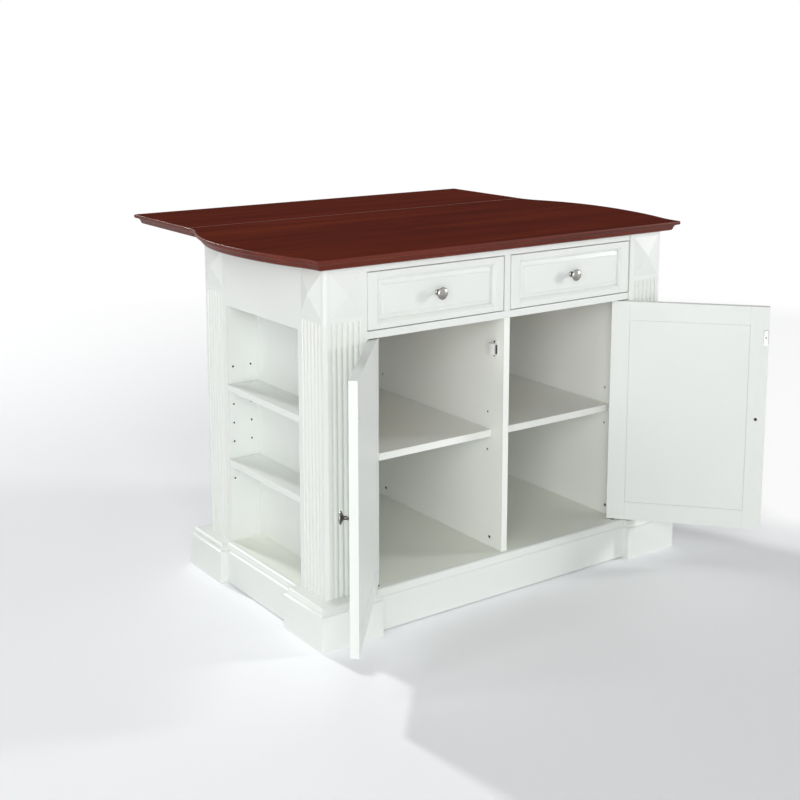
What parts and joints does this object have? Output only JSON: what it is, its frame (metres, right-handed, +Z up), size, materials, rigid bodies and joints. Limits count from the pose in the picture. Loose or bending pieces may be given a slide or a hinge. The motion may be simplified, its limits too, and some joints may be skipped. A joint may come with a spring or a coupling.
{
  "type": "drop leaf kitchen island",
  "caption": "Kitchen island with a bow-sided moulded wood top and rear drop leaf, reeded corner posts, drawers over panelled doors, and open end shelves.",
  "frame": {"origin": "on the floor, at the centre of the cabinet's rectangular footprint", "axes": "+Z up, -Y towards the front with the drawers and doors, +Y towards the drop leaf, +X to the right seen from the front"},
  "size_m": [1.3364, 1.237, 0.914],
  "materials": {
    "cherry": "satin stained cherry",
    "paint": "satin off-white paint on wood",
    "interior": "painted board",
    "nickel": "brushed nickel",
    "steel": "zinc plated",
    "dark_steel": "dark bronze",
    "catch_plastic": "moulded",
    "plywood": "clear lacquer"
  },
  "bodies": {
    "cabinet": {"back_panel": "paint", "brace_pivot_pins": "steel", "brace_wall_plates": "steel", "cabinet_floor": "paint", "cabinet_shelf_supports": "steel", "cabinet_shelves": "interior", "centre_divider": "interior", "door_catches": "catch_plastic", "door_pivot_mounts": "dark_steel", "drawer_channels": "steel", "drawer_stile": "paint", "floor_bearer": "paint", "leaf_hinge_pins": "steel", "leaf_hinge_top_plates": "steel", "left_back_plinth_block": "paint", "left_back_post": "paint", "left_front_plinth_block": "paint", "left_front_post": "paint", "left_niche_shelves": "paint", "left_side_panel": "interior", "long_plinth_boards": "paint", "main_top": "cherry", "mid_rail": "paint", "niche_backs": "paint", "niche_friezes": "paint", "niche_shelf_supports": "steel", "right_back_plinth_block": "paint", "right_back_post": "paint", "right_front_plinth_block": "paint", "right_front_post": "paint", "right_niche_shelves": "paint", "right_side_panel": "interior", "short_plinth_boards": "paint", "top_rail": "paint"},
    "left_door": {"left_door_bushes": "catch_plastic", "left_door_frame": "paint", "left_door_knob": "nickel", "left_door_panel": "paint", "left_strike_plate": "steel"},
    "right_door": {"right_door_bushes": "catch_plastic", "right_door_frame": "paint", "right_door_knob": "nickel", "right_door_panel": "paint", "right_strike_plate": "steel"},
    "left_drawer": {"left_drawer_bottom": "plywood", "left_drawer_box": "plywood", "left_drawer_front": "paint", "left_drawer_knob": "nickel", "left_drawer_panel": "paint", "left_drawer_runners": "steel"},
    "right_drawer": {"right_drawer_bottom": "plywood", "right_drawer_box": "plywood", "right_drawer_front": "paint", "right_drawer_knob": "nickel", "right_drawer_panel": "paint", "right_drawer_runners": "steel"},
    "drop_leaf": {"drop_leaf": "cherry", "leaf_hinge_leaf_plates": "steel", "leaf_channels": "steel"},
    "leaf_braces": {"leaf_braces": "steel"}
  },
  "joints": [
    {"name": "left_door_hinge", "type": "hinge", "parent": "cabinet", "child": "left_door", "pos_m": [-0.397, -0.281, 0.4085], "axis": [0, 0, -1], "range_deg": [-130.5, 1.5]},
    {"name": "right_door_hinge", "type": "hinge", "parent": "cabinet", "child": "right_door", "pos_m": [0.397, -0.281, 0.4085], "axis": [0, 0, 1], "range_deg": [-132, 0]},
    {"name": "left_drawer_slide", "type": "slide", "parent": "cabinet", "child": "left_drawer", "axis": [0, -1, 0], "range_m": [0, 0.3]},
    {"name": "right_drawer_slide", "type": "slide", "parent": "cabinet", "child": "right_drawer", "axis": [0, -1, 0], "range_m": [0, 0.3]},
    {"name": "leaf_hinge", "type": "hinge", "parent": "cabinet", "child": "drop_leaf", "pos_m": [0, 0.321, 0.8844], "axis": [-1, 0, 0], "range_deg": [0, 90]},
    {"name": "brace_pivot", "type": "hinge", "parent": "cabinet", "child": "leaf_braces", "pos_m": [0, 0.297, 0.8044], "axis": [-1, 0, 0], "range_deg": [0, 107.6]}
  ],
  "couplings": [
    {"joint": "brace_pivot", "follows": "leaf_hinge", "ratio": 1.1949}
  ]
}
